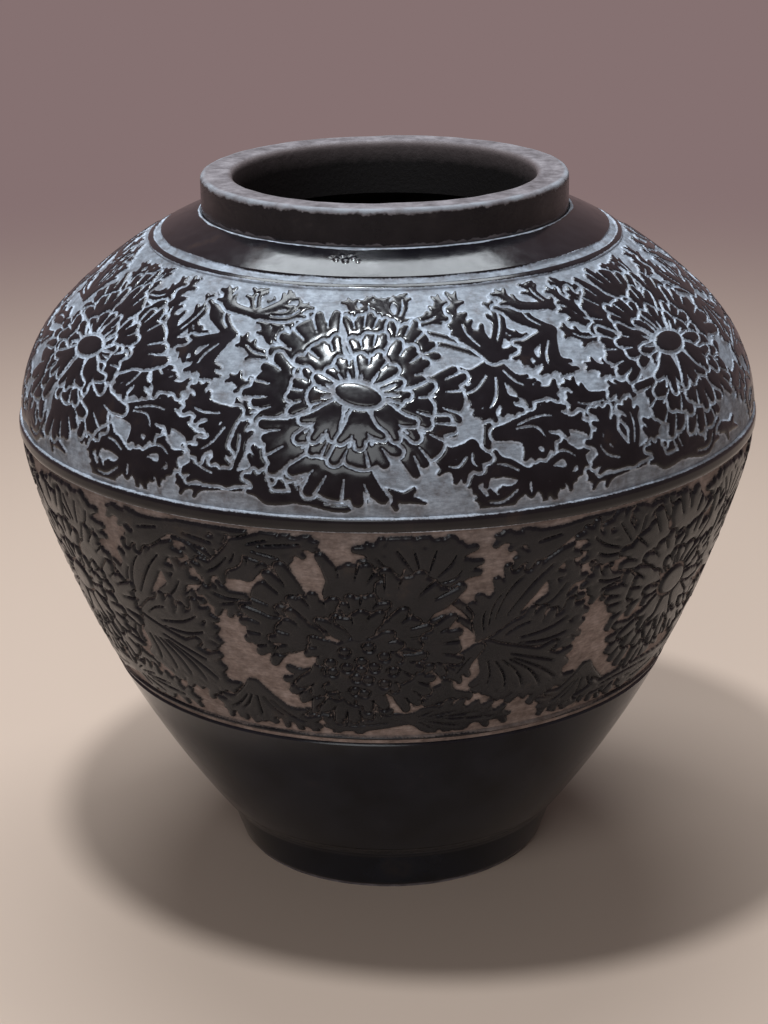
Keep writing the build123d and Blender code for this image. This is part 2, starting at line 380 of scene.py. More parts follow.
def seed_heart(panel, centre, seed):
    """A cluster of round seeds in the heart of a head, each ringed by a cut."""
    heart = centre + HEART_DROP
    panel.join(oval(panel, heart, *HEART_SIZE))
    for ring, count in enumerate(SEED_RINGS):
        for k in range(count):
            away = SEED_GAP * ring + wobble(seed + 3 * k + ring, 1.6)
            dot = heart + turned(360 * k / count + 20 * ring + wobble(seed + k, 16), away)
            panel.lay(oval(panel, dot, *SEED_SIZE))


# The stems, as (half width, points), and the leaves, as (base, width, fingers), that stand
# between two heads, in degrees from the first head's turn and millimetres up from the belly
UPPER_STEMS = (
    (1.3, ((-4, 85), (2, 91), (9, 88), (15, 80), (18, 72))),
    (1.3, ((3, 76), (8, 83), (13, 79), (18, 72))),
    (1.6, ((18, 72), (16, 58), (15, 46), (14, 30))),
)
UPPER_LEAVES = (
    # Along the girdle
    ((-22, 14), 3.2, ((5, 9, 0.06, 1.2), (-31, 11, 0), (-29, 17, 0))),
    ((-23, 16), 3.6, ((-29, 20, 0.1), (-29, 31, 0.2, 1.1), (-27, 42, 0.1, 1.1),
        (-22, 42, -0.1), (-18, 31, -0.3, 1.1))),
    ((-12, 11), 3.4, ((-19, 21, 0.3), (-13, 24, 0.1), (-12, 29, -0.1), (-3, 22, -0.3, 1.1),
        (-8, 17, 0))),
    ((20, 17), 3.4, ((11, 15, -0.2), (12, 9, 0.2), (16, 8, 0.1), (20, 8, 0), (24, 9, -0.1),
        (29, 18, 0.3, 1.2), (27, 12, 0.1), (14, 24, -0.1))),
    ((12, 33), 3.0, ((6, 34, 0.2), (7, 26, 0.3), (9, 21, 0.2), (13, 22, -0.2), (14.5, 27, -0.2))),
    ((16, 37), 3.4, ((27, 51, -0.12, 1.1), (27, 41, 0.1), (33, 29, 0.12), (24, 27, 0.3),
        (21, 24, 0.3))),
    # Hanging from the node of the stems, and the tall one above it
    ((18, 72), 3.3, ((9.5, 66, 0.15), (8.5, 57, 0.2), (12.5, 50, 0.15), (14, 44, 0.1),
        (19, 45, -0.1), (23, 56, -0.1), (28, 55, -0.3))),
    ((18, 74), 3.6, ((14, 88, -0.25), (14, 98, 0.1), (15, 112, 0.25), (22, 106, -0.1),
        (24, 86, -0.3))),
    ((2, 95), 2.7, ((-8, 110, 0.2), (-4, 111, 0.2), (-1, 110, 0.1), (3, 112, -0.1),
        (11, 111, -0.3), (11, 100, -0.1), (-7, 99, -0.2))),
    # Round the next head and at the left of this one
    ((31, 84), 3.2, ((24, 109, 0.2, 1.1), (27, 100, 0.15), (23, 68, -0.15), (27, 62, -0.1),
        (31, 60, -0.2))),
    ((34, 97), 3.0, ((24, 111, 0.2), (32, 112, 0.1), (40, 111, -0.1), (44, 106, -0.2))),
    ((37, 46), 3.0, ((29, 58, 0.2), (28, 48, 0.1), (33, 36, -0.2), (31, 25, 0.1), (36, 22, -0.1))),
    ((-16, 76), 2.8, ((-24, 108, 0.05), (-20, 103, -0.1), (-24, 95, 0.1), (-27, 84, 0.15),
        (-15, 102, -0.1))),
    ((-15, 61), 2.8, ((-26, 64, 0.15), (-23, 57, -0.1), (-19, 67, 0.1))),
    ((-17, 51), 2.8, ((-24, 49, 0.1), (-20, 43, -0.1))),
)
LOWER_STEMS = (
    (1.4, ((-5, -47), (-3, -36), (1, -31), (5, -33))),
    (1.8, ((-5, -49), (1, -40), (7, -38), (12, -50), (15, -68))),
    (1.4, ((5, -56), (9, -51), (13, -60), (15, -70))),
)
LOWER_LEAVES = (
    ((5, -33), 4.8, ((-3, -10, 0.1), (0, -8, 0), (3, -8, 0), (7, -9, 0), (10, -11, -0.1),
        (11, -20, -0.2))),
    # About the node at the right of the head
    ((15, -68), 4.8, ((15, -44, 0.1), (18, -34, 0.1), (22, -24, 0.1, 1.2), (27, -19, 0.05, 1.2),
        (29, -30, -0.1, 1.1), (29, -45, -0.2))),
    ((16, -70), 4.6, ((24, -58, 0.1), (31, -54, -0.1, 1.1), (32, -65, -0.1, 1.1),
        (31, -76, -0.05))),
    ((15, -72), 5.0, ((16, -101, 0.1), (20, -106, 0.1, 1.1), (24, -108, 0.1, 1.2),
        (28, -110, 0.1, 1.2), (32, -106, 0.05, 1.1), (31, -90, 0, 1.1))),
    ((14, -71), 3.4, ((6, -82, 0.1), (10, -90, 0))),
    ((13, -102), 3.4, ((3, -98, 0.1), (6, -106, 0), (8, -94, 0.1))),
    # Along the two edges
    ((4, -115), 4.2, ((-24, -117, -0.05), (-12, -121, 0.02), (8, -109, 0), (13, -110, 0),
        (18, -113, 0), (22, -118, 0), (14, -123, 0), (8, -124, 0))),
    ((27, -11), 3.8, ((15, -9, 0.05), (20, -15, 0), (40, -9, 0.1), (36, -16, 0), (18, -22, 0.1))),
    ((38, -15), 4.2, ((44, -9, 0), (50, -10, 0), (36, -26, 0.1), (31, -33, 0.1), (46, -20, 0))),
    ((36, -98), 4.4, ((31, -118, 0.1), (36, -122, 0), (42, -119, -0.1), (47, -122, -0.1),
        (28, -118, 0.1))),
    ((-21, -30), 4.4, ((-31, -12, 0.1), (-26, -9, 0), (-20, -9, 0), (-30, -24, 0.1),
        (-15, -12, 0))),
    ((-19, -44), 4.2, ((-29, -40, 0.1), (-28, -50, 0), (-24, -52, -0.1))),
)
PEONY_STEP = 60
UPPER_HEADS = (((-4.5, 58), -16), ((55, 62), 0), ((120.5, 60), 7))
UPPER_HEAD_SIZE, UPPER_EYE = (47, 45), np.array((10.5, 5.2))
LOWER_HEADS = ((-6, -68), (52, -60), (118, -64))
LOWER_HEAD_SIZE, LOWER_EYE = (50, 48), np.array((9.5, 7.5))


def garlands(panel, stems, leaves):
    """The stems and leaves between the heads, the same for each head of the pattern."""
    for turn in range(0, int(TILE_DEGREES), PEONY_STEP):
        for width, points in stems:
            stem(panel, width, [(degrees + turn, up) for degrees, up in points])
        for (degrees, up), width, tips in leaves:
            leaf(panel, (degrees + turn, up), width, [(tip[0] + turn, *tip[1:]) for tip in tips])


def upper_scroll():
    """The pattern of the upper scroll, with a dark eye in each head."""
    panel = Panel(GIRDLE_HIGH, FILLET_LOW, 1.4, 0.35, 0.0)
    garlands(panel, UPPER_STEMS, UPPER_LEAVES)
    for k, (spot, tilt) in enumerate(UPPER_HEADS):
        centre, seed = panel.at(*spot), 3.0 + 11 * k
        petal_rings(panel, centre, UPPER_HEAD_SIZE, seed)
        dark_eye(panel, centre, UPPER_EYE, tilt, seed)
    return panel


def lower_scroll():
    """The pattern of the lower scroll, fuller, with a heart of seeds in its first head."""
    panel = Panel(LOW_FILLET, GIRDLE_LOW, 1.2, 0.7, 0.45)
    garlands(panel, LOWER_STEMS, LOWER_LEAVES)
    for k, spot in enumerate(LOWER_HEADS):
        centre, seed = panel.at(*spot), 5.0 + 9 * k
        petal_rings(panel, centre, LOWER_HEAD_SIZE, seed)
        if k == 0:
            seed_heart(panel, centre, seed)
        else:
            dark_eye(panel, centre, LOWER_EYE, 0.0, seed)
    return panel


def mesh_object(name, points, quads, polygons, uvs, sharp):
    """A mesh from numpy points in millimetres, an array of quads and some larger polygons."""
    mesh = bpy.data.meshes.new(name)
    mesh.vertices.add(len(points))
    mesh.vertices.foreach_set("co", (points * MM).astype(np.float32).ravel())
    counts = np.concatenate([np.full(len(quads), 4), [len(p) for p in polygons]]).astype(np.int32)
    corners = np.concatenate([quads.ravel(), *polygons]).astype(np.int32)
    starts = np.concatenate([[0], np.cumsum(counts)[:-1]]).astype(np.int32)
    mesh.loops.add(len(corners))
    mesh.loops.foreach_set("vertex_index", corners)
    mesh.polygons.add(len(counts))
    mesh.polygons.foreach_set("loop_start", starts)
    mesh.polygons.foreach_set("use_smooth", np.ones(len(counts), bool))
    mesh.update(calc_edges=True)
    layer = mesh.uv_layers.new(name="OFBake")
    layer.data.foreach_set("uv", uvs.astype(np.float32).ravel())
    mesh.set_sharp_from_angle(angle=math.radians(sharp))
    mesh.validate()
    made = bpy.data.objects.new(name, mesh)
    bpy.context.scene.collection.objects.link(made)
    return made


def dress(piece, nodes, material):
    """Gives a piece its material, slot and body, in the place of the nodes that it covers."""
    piece.data.materials.append(material)
    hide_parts(*nodes)
    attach(piece, "root")


def add_field(piece, name, values):
    """Keeps one number for each point of a mesh, for its material."""
    field = piece.data.attributes.new(name, "FLOAT", "POINT")
    full = np.zeros(len(piece.data.vertices), np.float32)
    full[: values.size] = values.ravel()
    field.data.foreach_set("value", full)


def spun(flat, turns):
    """Points in space from (radius, height) rows and turns in radians from the front."""
    radius, height = flat[..., 0], flat[..., 1]
    return np.stack([radius * np.sin(turns), -radius * np.cos(turns), height + 0 * turns], -1)


def grid_quads(low_row, high_row, here, after):
    """The quads between rows of points, each row given by its first point."""
    corners = [low_row + here, low_row + after, high_row + after, high_row + here]
    return np.stack(corners, -1).reshape(-1, 4)


def grid_uv(here, columns, line):
    """The places of a grid's quads in the texture map, its rows at the places of a line."""
    u = np.stack([here, here + 1, here + 1, here], -1)[None, :, :] / columns
    v = np.stack([line[:-1], line[:-1], line[1:], line[1:]], -1)[:, None, :]
    return np.stack(np.broadcast_arrays(u, v), -1).reshape(-1, 2)


BACK_ROWS = 16
# The bands of a slab's texture map: its outside, its back, its two rims and its two end walls
FRONT_BAND, BACK_BAND, RIM_BANDS = (0.0, 0.86), (0.92, 1.0), ((0.87, 0.88), (0.89, 0.90))
END_BAND, END_BAND_WIDTH, END_BAND_STEP = 0.907, 0.003, 0.005
SLAB_SHARP = 50


def slab(name, places, turns, height, glaze):
    """A closed piece of the wall: a carved outside over a plain back.

    places are along the outside, turns in degrees from the front, and height and glaze give
    for each place and turn how far the outside lies out and how far it is from the glaze.
    """
    rows, columns = len(places), len(turns)
    closed = abs(turns[-1] - turns[0]) > 359
    if closed:
        turns, columns = turns[:-1], columns - 1
        height, glaze = height[:, :-1], glaze[:, :-1]
    angle = np.radians(turns)[None, :]
    front = spun(under(places[:, None] + 0 * angle, -height), np.repeat(angle, rows, 0))
    back_places = np.linspace(places[0], places[-1], BACK_ROWS)
    back_line = under(back_places[:, None] + 0 * angle, WALL_DEPTH)
    back = spun(back_line, np.repeat(angle, BACK_ROWS, 0))
    points = np.concatenate([front.reshape(-1, 3), back.reshape(-1, 3)])
    after = (np.arange(columns) + 1) % columns if closed else np.arange(1, columns)
    here = np.arange(columns) if closed else np.arange(columns - 1)
    base = rows * columns

    def grid(first, count):
        row = first + np.arange(count - 1)[:, None] * columns
        return grid_quads(row, row + columns, here, after)

    def rim(front_row, back_row):
        return np.stack([front_row + here, back_row + here, back_row + after, front_row + after], -1)

    top_rim = rim(base - columns, base + (BACK_ROWS - 1) * columns)[:, ::-1]
    quads = [grid(0, rows), grid(base, BACK_ROWS)[:, ::-1], rim(0, base), top_rim]
    back_uv = grid_uv(here, columns, np.linspace(*BACK_BAND, BACK_ROWS))
    uvs = [grid_uv(here, columns, np.linspace(*FRONT_BAND, rows))]
    uvs += [back_uv.reshape(-1, 4, 2)[:, ::-1].reshape(-1, 2)]
    uvs += [grid_uv(here, columns, np.array(band)) for band in RIM_BANDS]
    polygons = []
    if not closed:
        steps = np.linspace(0, rows - 1, BACK_ROWS).round().astype(int)
        for side, column in enumerate((0, columns - 1)):
            way = -1 if side == 1 else 1
            band = END_BAND + END_BAND_STEP * side
            for k in range(BACK_ROWS - 1):
                outer = np.arange(steps[k], steps[k + 1] + 1)
                inner = np.array([k + 1, k])
                ring = np.concatenate([outer * columns, base + inner * columns]) + column
                u = np.concatenate([outer / rows, inner / BACK_ROWS])
                v = np.concatenate([np.zeros(len(outer)), np.ones(2)]) * END_BAND_WIDTH + band
                polygons.append(ring[::way])
                uvs.append(np.stack([u, v], -1)[::way])
    uvs = np.concatenate(uvs)
    piece = mesh_object(name, points, np.concatenate(quads), polygons, uvs, SLAB_SHARP)
    add_field(piece, "glaze_edge", glaze)
    return piece


def noise(places, turns, seed, waves, size):
    """A smooth uneven field over places and turns, the same on each run."""
    random = np.random.default_rng(seed)
    field = np.zeros((len(places), len(turns)))
    angle = np.radians(turns)
    for _ in range(waves):
        round_count = int(random.integers(2, 40))
        up_count = random.uniform(0.01, 0.25)
        phase, shift = random.uniform(0, 2 * math.pi, 2)
        field += np.sin(round_count * angle[None, :] + phase + up_count * places[:, None] * 3 + shift)
    return field * size / math.sqrt(waves)


def rounded(share):
    """A share that rises steeply from its edge and levels off, as a round side does."""
    return np.sqrt(np.clip(1 - (1 - share) ** 2, 0, 1))


# The relief of a scroll: where its slope starts, the swell of each motif, the bare strip along
# the panel's edges, how low those edges lie, and the scratches in the ground
SLOPE_START = 0.25
PILLOW, PILLOW_SHARE = 3.2, 0.35
EDGE_GROUND, EDGE_DEPTH_SHARE = 2.0, 0.4
SCRATCH_SEED, SCRATCH_WAVES, SCRATCH_SIZE = 11, 14, 0.07


def sector(name, panel, number, ground, bevel):
    """One sixth of a carved scroll, as a closed piece of the wall."""
    first = number * SECTOR_COLUMNS
    columns = np.arange(first, first + SECTOR_COLUMNS + 1)
    edge = np.minimum(panel.up - panel.up[0], panel.up[-1] - panel.up)
    glaze = np.maximum(panel.glaze[:, columns % panel.columns], EDGE_GROUND - edge[:, None])
    tilt = panel.relief[:, columns % panel.columns]
    turns = columns * SECTOR_DEGREES / SECTOR_COLUMNS
    inside = np.clip((SLOPE_START - glaze) / bevel, 0, 1)
    pillow = np.clip((SLOPE_START - glaze) / PILLOW, 0, 1)
    swell = (1 - PILLOW_SHARE) * rounded(inside) + PILLOW_SHARE * rounded(pillow)
    scratches = noise(panel.up, turns, SCRATCH_SEED + number, SCRATCH_WAVES, SCRATCH_SIZE)
    height = -ground * (1 - swell) + tilt * inside + scratches * (1 - inside)
    height = np.minimum(height, 0)
    height[[0, -1]] = np.minimum(height[[0, -1]], -ground * EDGE_DEPTH_SHARE)
    # The glaze field is moved so that the dark glaze colour reaches down into the cuts
    return slab(name, panel.up, turns, height, glaze - panel.dark_into_cuts)


# Materials


def fill(tree, socket, value):
    """Links a node's input to an output of another, or sets it to a number or a colour."""
    if isinstance(value, bpy.types.NodeSocket):
        tree.links.new(value, socket)
    elif socket.type == "RGBA":
        socket.default_value = (*value, 1)
    else:
        socket.default_value = value


def feed(tree, node, **values):
    """Fills a node's inputs by name, with _ for a space."""
    for name, value in values.items():
        fill(tree, node.inputs[name.replace("_", " ")], value)
    return node


def new_node(tree, kind, **values):
    """A new node with its inputs filled."""
    return feed(tree, tree.nodes.new("ShaderNode" + kind), **values)


def node_tree(name):
    """A new material, its node tree and its shader."""
    material = bpy.data.materials.new(name)
    material.use_nodes = True
    tree = material.node_tree
    tree.nodes.clear()
    shader = new_node(tree, "BsdfPrincipled")
    new_node(tree, "OutputMaterial", Surface=shader.outputs["BSDF"])
    return material, tree, shader


def texture(tree, scale, detail=4.0, rough=0.55, stretch=None):
    """A noise texture on the object's own coordinates, in metres."""
    source = new_node(tree, "TexCoord").outputs["Object"]
    if stretch:
        source = new_node(tree, "Mapping", Vector=source, Scale=stretch).outputs["Vector"]
    node = new_node(tree, "TexNoise", Vector=source, Scale=scale, Detail=detail, Roughness=rough)
    return node.outputs["Fac"]


def ramp(tree, value, stops):
    """A colour ramp over (place, colour) stops."""
    node = new_node(tree, "ValToRGB", Fac=value)
    elements = node.color_ramp.elements
    while len(elements) < len(stops):
        elements.new(0.5)
    for element, (place, colour) in zip(elements, stops):
        element.position = place
        element.color = (*colour, 1)
    return node.outputs["Color"]


def remap(tree, value, low, high, start=0.0, end=1.0):
    """A value that goes from start to end while another goes from low to high."""
    node = new_node(tree, "MapRange", Value=value, From_Min=low, From_Max=high)
    return feed(tree, node, To_Min=start, To_Max=end).outputs["Result"]


def maths(tree, kind, *values):
    """The outcome of a sum on two or three values, each a number or a socket."""
    node = new_node(tree, "Math")
    node.operation = kind
    for socket, value in zip(node.inputs, values):
        fill(tree, socket, value)
    return node.outputs[0]


def vector_length(tree, source):
    """The length of a vector."""
    node = new_node(tree, "VectorMath", Vector=source)
    node.operation = "LENGTH"
    return node.outputs["Value"]


def mixed(tree, share, first, second):
    """A colour between two, each a colour or a socket."""
    node = new_node(tree, "Mix")
    node.data_type = "RGBA"
    for place, value in ((0, share), (6, first), (7, second)):
        fill(tree, node.inputs[place], value)
    return node.outputs[2]


def bumps(tree, height, strength, distance):
    """The normal of a surface with small bumps."""
    node = new_node(tree, "Bump", Height=height, Strength=strength, Distance=distance)
    return node.outputs["Normal"]


def shaded(tree, colour, level):
    """The same colour, darker or lighter."""
    return new_node(tree, "HueSaturation", Value=level, Color=colour).outputs["Color"]


# Both scrolls have one clay: the upper colours are painted light, cool and pale as if lit from above, and
# the lower ones are painted shade, warm and darker as if lit only from the floor
LIT_COOL_CLAY = ((0.32, (0.180, 0.174, 0.190)), (0.50, (0.315, 0.345, 0.400)), (0.72, (0.46, 0.51, 0.59)))
SHADED_WARM_CLAY = ((0.30, (0.16, 0.120, 0.108)), (0.50, (0.29, 0.23, 0.21)), (0.72, (0.42, 0.35, 0.33)))
BLACK_GLAZE = ((0.35, (0.004, 0.004, 0.006)), (0.60, (0.010, 0.009, 0.012)), (0.8, (0.030, 0.020, 0.017)))
# The lower scroll's duller glaze, painted lighter and bluer than the black glaze as a painted sheen
DULL_GLAZE_AND_SHEEN = ((0.35, (0.007, 0.008, 0.011)), (0.60, (0.014, 0.014, 0.018)), (0.8, (0.04, 0.030, 0.026)))
# The foot's glaze, its middle colour painted bluer as a painted sheen
FOOT_GLAZE_AND_SHEEN = ((0.30, (0.006, 0.007, 0.010)), (0.60, (0.013, 0.015, 0.022)), (0.85, (0.034, 0.026, 0.024)))
NECK_GLAZE = ((0.30, (0.006, 0.006, 0.008)), (0.60, (0.016, 0.014, 0.016)), (0.85, (0.05, 0.042, 0.04)))
INSIDE_GLAZE = ((0.30, (0.012, 0.009, 0.008)), (0.60, (0.030, 0.021, 0.018)), (0.85, (0.06, 0.04, 0.03)))
RIM_CLAY = ((0.32, (0.070, 0.058, 0.062)), (0.52, (0.165, 0.145, 0.155)), (0.74, (0.31, 0.28, 0.295)))
WORN_CLAY = (0.27, 0.28, 0.31)
# Painted shade in the throat: near black deep down, a dim clay near the rim
THROAT_DEEP_SHADE = (0.004, 0.003, 0.003)
THROAT_TOP_SHADED_CLAY = (0.11, 0.085, 0.085)
CLAY_ROUGHNESS = 0.45
STREAK_LEVEL, STAIN_LEVEL = 0.62, 0.68


def carved_material(name, clay_and_light_stops, glaze_and_sheen_stops, glaze_rough, shine, painted_edge_level):
    """Glaze where the carving left it, and bare clay elsewhere, paler at its edges as painted light or
    darker as painted shade.
    """
    material, tree, shader = node_tree(name)
    edge = new_node(tree, "Attribute")
    edge.attribute_name = "glaze_edge"
    fray = remap(tree, texture(tree, 900.0, 3.0), 0.3, 0.7, -0.22, 0.22)
    ragged = maths(tree, "ADD", edge.outputs["Fac"], fray)
    bare = remap(tree, ragged, -0.18, 0.18)
    clay = ramp(tree, texture(tree, 140.0, 9.0, 0.7), clay_and_light_stops)
    streaks = remap(tree, texture(tree, 260.0, 6.0, 0.65, (1, 1, 3.2)), 0.35, 0.62)
    clay = mixed(tree, streaks, shaded(tree, clay, STREAK_LEVEL), clay)
    stains = remap(tree, texture(tree, 17.0, 3.0, 0.5), 0.45, 0.62, 0.0, 0.65)
    clay = mixed(tree, stains, clay, shaded(tree, clay, STAIN_LEVEL))
    # Painted light and shade at the cuts: the clay near the glaze takes a lighter or darker copy of its
    # colour
    painted_edge_share = remap(tree, ragged, 0.35, 1.15, 1.0, 0.0)
    clay = mixed(tree, painted_edge_share, clay, shaded(tree, clay, painted_edge_level))
    glaze = ramp(tree, texture(tree, 60.0, 6.0, 0.6), glaze_and_sheen_stops)
    cloud = texture(tree, 180.0, 5.0, 0.6)
    gloss = remap(tree, cloud, 0.3, 0.7, glaze_rough * 0.7, glaze_rough * 1.5)
    rough = maths(tree, "MULTIPLY_ADD", bare, CLAY_ROUGHNESS, gloss)
    grit = maths(tree, "MULTIPLY", texture(tree, 1500.0, 4.0, 0.7), bare)
    ripple = maths(tree, "MULTIPLY_ADD", texture(tree, 220.0, 3.0, 0.5), 0.25, grit)
    feed(tree, shader, Base_Color=mixed(tree, bare, glaze, clay), Roughness=rough)
    feed(tree, shader, Normal=bumps(tree, ripple, 0.5, 0.4 * MM), Specular_IOR_Level=shine)
    return material


def plain_material(name, stops, rough, scale, grit, spread=0.35, shine=0.5):
    """A glaze or clay with cloudy colour, uneven gloss and a little tooth."""
    material, tree, shader = node_tree(name)
    colour = ramp(tree, texture(tree, scale, 7.0, 0.62), stops)
    cloud = texture(tree, scale * 3, 5.0, 0.6)
    gloss = remap(tree, cloud, 0.3, 0.7, rough * (1 - spread), rough * (1 + spread))
    tooth = bumps(tree, texture(tree, 700.0, 5.0, 0.6), grit, 0.5 * MM)
    feed(tree, shader, Base_Color=colour, Roughness=gloss, Normal=tooth, Specular_IOR_Level=shine)
    return material


# On the neck, in millimetres: how far the glaze's ends wander, where the glaze starts and ends,
# the worn edge of the rim, and how far down the throat's painted shade stays paler
GLAZE_WANDER = 0.9
GLAZED_FROM = (BODY_HEIGHT + 0.7, BODY_HEIGHT + 1.2)
GLAZED_TO = (JAR_HEIGHT - 2.9, JAR_HEIGHT - 2.3)
OUTER_RADII = (NECK_RADIUS - 2.2, NECK_RADIUS - 1.6)
WORN_RADII, WORN_HEIGHTS = (NECK_RADIUS - 3.2, NECK_RADIUS - 1.8), (JAR_HEIGHT - 2.4, JAR_HEIGHT - 1.6)
THROAT_RADII = (MOUTH_RADIUS + 0.4, MOUTH_RADIUS + 2.8)
THROAT_HEIGHTS = (JAR_HEIGHT - 11.8, JAR_HEIGHT - 1.8)


def neck_material():
    """Dark glaze on the neck's outside that ends raggedly at the bare clay of the rim, with painted shade
    down the throat.
    """
    material, tree, shader = node_tree("neck_and_rim")
    spot = new_node(tree, "TexCoord").outputs["Object"]
    parts = new_node(tree, "SeparateXYZ", Vector=spot).outputs
    level = new_node(tree, "CombineXYZ", X=parts["X"], Y=parts["Y"]).outputs["Vector"]
    radius = vector_length(tree, level)
    wander = remap(tree, texture(tree, 220.0, 4.0), 0.3, 0.7, -GLAZE_WANDER * MM, GLAZE_WANDER * MM)
    up = maths(tree, "ADD", parts["Z"], wander)

    def between(value, sizes, start=0.0, end=1.0):
        return remap(tree, value, sizes[0] * MM, sizes[1] * MM, start, end)

    glazed = maths(tree, "MULTIPLY", between(radius, OUTER_RADII), between(up, GLAZED_TO, 1.0, 0.0))
    glazed = maths(tree, "MULTIPLY", glazed, between(up, GLAZED_FROM))
    glaze = ramp(tree, texture(tree, 70.0, 7.0, 0.62), NECK_GLAZE)
    clay = ramp(tree, texture(tree, 110.0, 8.0, 0.68), RIM_CLAY)
    near_edge = maths(tree, "MULTIPLY", between(radius, WORN_RADII), between(up, WORN_HEIGHTS))
    patches = remap(tree, texture(tree, 90.0, 3.0), 0.35, 0.6, 0.2, 1.0)
    clay = mixed(tree, maths(tree, "MULTIPLY", near_edge, patches), clay, WORN_CLAY)
    # Painted shade: the throat darkens from a dim clay near the rim to near black further down
    throat = mixed(tree, between(up, THROAT_HEIGHTS), THROAT_DEEP_SHADE, THROAT_TOP_SHADED_CLAY)
    clay = mixed(tree, between(radius, THROAT_RADII, 1.0, 0.0), clay, throat)
    gloss = remap(tree, glazed, 0.0, 1.0, 0.72, 0.22)
    tooth = bumps(tree, texture(tree, 450.0, 6.0, 0.68), 0.5, 0.7 * MM)
    feed(tree, shader, Base_Color=mixed(tree, glazed, clay, glaze), Roughness=gloss)
    feed(tree, shader, Normal=tooth, Specular_IOR_Level=0.35)
    return material


# The upper scroll gets painted light along its cuts, and the lower one gets painted shade along its cuts
upper_material = carved_material("carved_black_glaze", LIT_COOL_CLAY, BLACK_GLAZE, 0.15, 0.45, 1.7)
lower_material = carved_material("carved_dull_glaze", SHADED_WARM_CLAY, DULL_GLAZE_AND_SHEEN, 0.24, 0.3, 0.8)
foot_material = plain_material("plain_foot_glaze", FOOT_GLAZE_AND_SHEEN, 0.16, 40.0, 0.12, shine=0.35)
inside_material = plain_material("inside_glaze_brown", INSIDE_GLAZE, 0.42, 50.0, 0.2)
clay_material = plain_material("bare_foot_clay", RIM_CLAY, 0.7, 120.0, 0.5, 0.15)

# The two carved scrolls, in six closed pieces each, so that each mesh stays a fair size
UPPER_DEPTH, UPPER_BEVEL = COAT, 0.7
LOWER_DEPTH, LOWER_BEVEL = 1.7, 1.5

upper_panel = upper_scroll()
lower_panel = lower_scroll()
for k in range(6):
    carved = sector(f"upper_scroll_{k + 1}", upper_panel, k, UPPER_DEPTH, UPPER_BEVEL)
    dress(carved, ("upper_scroll", "shoulder_body"), upper_material)
    carved = sector(f"lower_scroll_{k + 1}", lower_panel, k, LOWER_DEPTH, LOWER_BEVEL)
    dress(carved, ("lower_scroll", "lower_body"), lower_material)

# The rings between the scrolls, each a closed piece of the wall
RING_STEP = 0.5
RING_COLUMNS, FINE_RING_COLUMNS = 720, 1200


def ring_grid(low, high, columns=RING_COLUMNS):
    """The places up a ring, as a column, and the turns round it, as a row."""
    places = np.linspace(low, high, int(round((high - low) / RING_STEP)) + 1)
    return places[:, None], np.linspace(0, 360, columns + 1)[None, :]


def ring_piece(name, places, turns, height, low_edge, high_edge):
    """A ring of the wall. Its glaze lies between two wavering edges, each (place, seed, size)."""
    below = low_edge[0] - places + waver(turns, *low_edge[1:])
    glaze = np.maximum(below, places - high_edge[0] + waver(turns, *high_edge[1:]))
    return slab(name, places[:, 0], turns[0], height + 0 * glaze, glaze)


WAVER_COUNTS = (3, 7, 11, 19, 31)


def waver(turns, seed, size):
    """A line's small unevenness round the jar."""
    angle = np.radians(turns)
    total = 0 * angle
    for k, count in enumerate(WAVER_COUNTS):
        total = total + np.sin(count * angle + seed * (k + 1.7)) / (1 + 0.5 * k)
    return total * size


def bead(places, low, high, rise, shoulder):
    """A rounded band between two places, falling off over a shoulder at each side."""
    inside = np.clip(np.minimum(places - low, high - places) / shoulder, 0, 1)
    return rise * np.sqrt(1 - (1 - inside) ** 2)


# Small blisters in the glaze of the shoulder ring: (degrees, place, radius)
BLISTERS = (
    (-14.4, 137.4, 1.2), (-13.0, 135.0, 1.7), (-11.6, 137.8, 1.4), (-10.4, 134.4, 2.0),
    (-9.4, 138.8, 1.2), (-8.4, 136.2, 1.7), (-7.2, 134.0, 1.3),
)
BLISTER_RISE_SHARE = 0.35


def blisters(places, turns):
    """How far the blisters stand out of the glaze."""
    rise = 0 * places * turns
    for degrees, up, size in BLISTERS:
        across = np.radians((turns - degrees + 180) % 360 - 180) * under(up, 0)[0]
        near = np.hypot(across, places - up) / size
        rise = rise + BLISTER_RISE_SHARE * size * np.clip(1 - near ** 2, 0, 1)
    return rise


# The raised dark girdle, with slightly uneven sides
girdle_edges = (GIRDLE_LOW + 0.7, 5, 0.12), (GIRDLE_HIGH - 0.7, 5, 0.12)
up, turns = ring_grid(GIRDLE_LOW, GIRDLE_HIGH)
height = bead(up, GIRDLE_LOW, GIRDLE_HIGH, 1.7, 2.6) - COAT + waver(turns, 2, 0.05)
girdle = ring_piece("girdle", up, turns, height, *girdle_edges)
dress(girdle, ("girdle_ring", "shoulder_body", "lower_body"), upper_material)

# The narrow dark fillet over the upper scroll
fillet_edges = (FILLET_LOW + 0.7, 9, 0.2), (FILLET_HIGH - 0.5, 9, 0.2)
up, turns = ring_grid(FILLET_LOW, FILLET_HIGH)
height = bead(up, FILLET_LOW, FILLET_HIGH, 1.1, 1.2) - COAT
fillet = ring_piece("upper_fillet", up, turns, height, *fillet_edges)
dress(fillet, ("fillet_ring", "shoulder_body"), upper_material)

# A line cut down to the clay, then the plain coat with its blisters up to the neck
shoulder_edges = (LINE_HIGH + 0.4, 3, 0.25), (NECK_PLACE - 1.66, 1, 0.35)
up, turns = ring_grid(FILLET_HIGH, NECK_PLACE - 0.6, FINE_RING_COLUMNS)
height = COAT * np.clip((up - LINE_HIGH) / 0.8, 0, 1) - COAT
height = np.where(up < LINE_HIGH, -COAT, height + blisters(up, turns))
shoulder = ring_piece("shoulder_ring", up, turns, height, *shoulder_edges)
dress(shoulder, ("shoulder_glaze", "shoulder_body"), upper_material)

